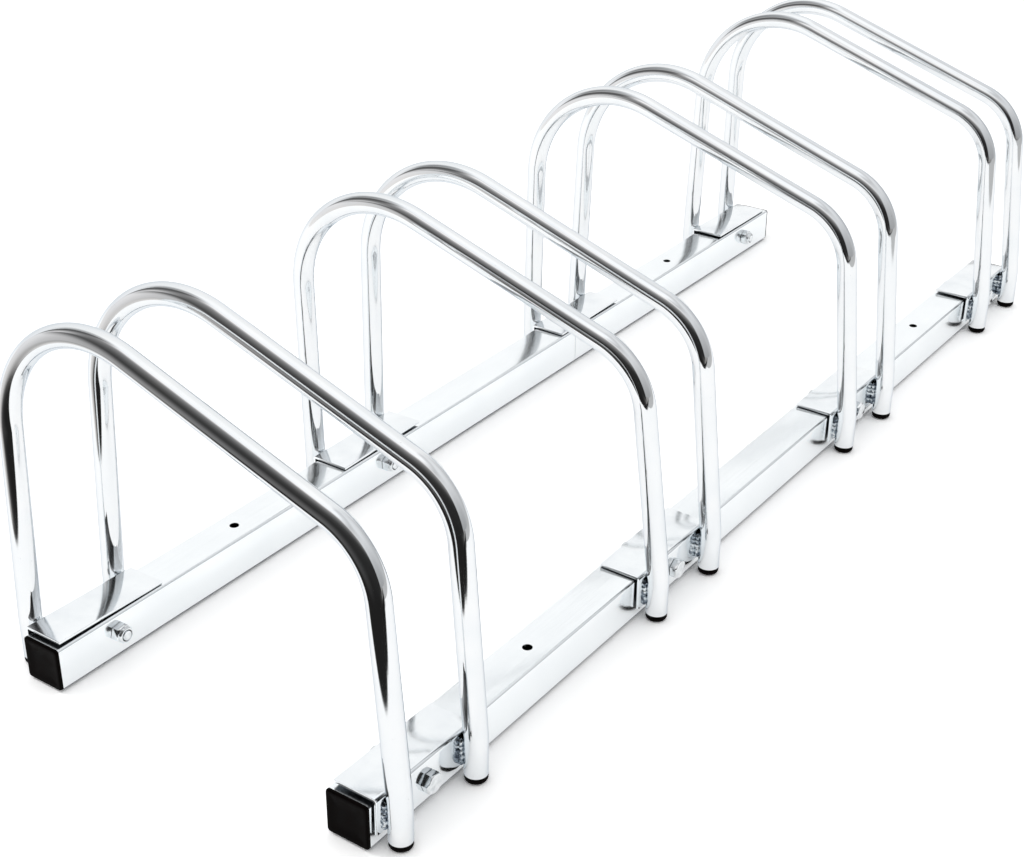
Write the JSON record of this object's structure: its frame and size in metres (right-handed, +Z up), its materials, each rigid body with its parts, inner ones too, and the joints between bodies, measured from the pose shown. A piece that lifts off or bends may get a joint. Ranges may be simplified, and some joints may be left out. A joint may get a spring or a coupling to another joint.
{
  "type": "floor bike rack",
  "caption": "Low floor rack that holds bicycle wheels between pairs of bent tube hoops bolted to two square rails.",
  "frame": {"origin": "middle of the rack's footprint, on the floor plane under the feet", "axes": "+X along the rails, +Y from the hoops' low front towards their high back, +Z up"},
  "size_m": [1, 0.3356, 0.2722],
  "materials": {
    "plated_tube": "bright plated, mirror-like",
    "plated_rail": "bright zinc plated, slightly milky",
    "plated_plate": "bright zinc plated",
    "fastener_steel": "bright plated",
    "black_plastic": "matt moulded"
  },
  "bodies": {
    "root": {"rail_front_long": "plated_rail", "rail_front_short": "plated_rail", "cap_front_left": "black_plastic", "cap_front_right": "black_plastic", "rail_back_long": "plated_rail", "rail_back_short": "plated_rail", "cap_back_left": "black_plastic", "cap_back_right": "black_plastic", "hoop_1": "plated_tube", "foot_front_1": "black_plastic", "foot_back_1": "black_plastic", "hoop_2": "plated_tube", "foot_front_2": "black_plastic", "foot_back_2": "black_plastic", "hoop_3": "plated_tube", "foot_front_3": "black_plastic", "foot_back_3": "black_plastic", "hoop_4": "plated_tube", "foot_front_4": "black_plastic", "foot_back_4": "black_plastic", "hoop_5": "plated_tube", "foot_front_5": "black_plastic", "foot_back_5": "black_plastic", "hoop_6": "plated_tube", "foot_front_6": "black_plastic", "foot_back_6": "black_plastic", "hoop_7": "plated_tube", "foot_front_7": "black_plastic", "foot_back_7": "black_plastic", "hoop_8": "plated_tube", "foot_front_8": "black_plastic", "foot_back_8": "black_plastic", "bracket_front_1": "plated_plate", "bolt_front_1": "fastener_steel", "nut_front_1": "fastener_steel", "bracket_front_2": "plated_plate", "bolt_front_2": "fastener_steel", "nut_front_2": "fastener_steel", "bracket_front_3": "plated_plate", "bolt_front_3": "fastener_steel", "nut_front_3": "fastener_steel", "bracket_front_4": "plated_plate", "bolt_front_4": "fastener_steel", "nut_front_4": "fastener_steel", "bracket_back_1": "plated_plate", "bolt_back_1": "fastener_steel", "nut_back_1": "fastener_steel", "bracket_back_2": "plated_plate", "bolt_back_2": "fastener_steel", "nut_back_2": "fastener_steel", "bracket_back_3": "plated_plate", "bolt_back_3": "fastener_steel", "nut_back_3": "fastener_steel", "bracket_back_4": "plated_plate", "bolt_back_4": "fastener_steel", "nut_back_4": "fastener_steel"}
  },
  "joints": []
}
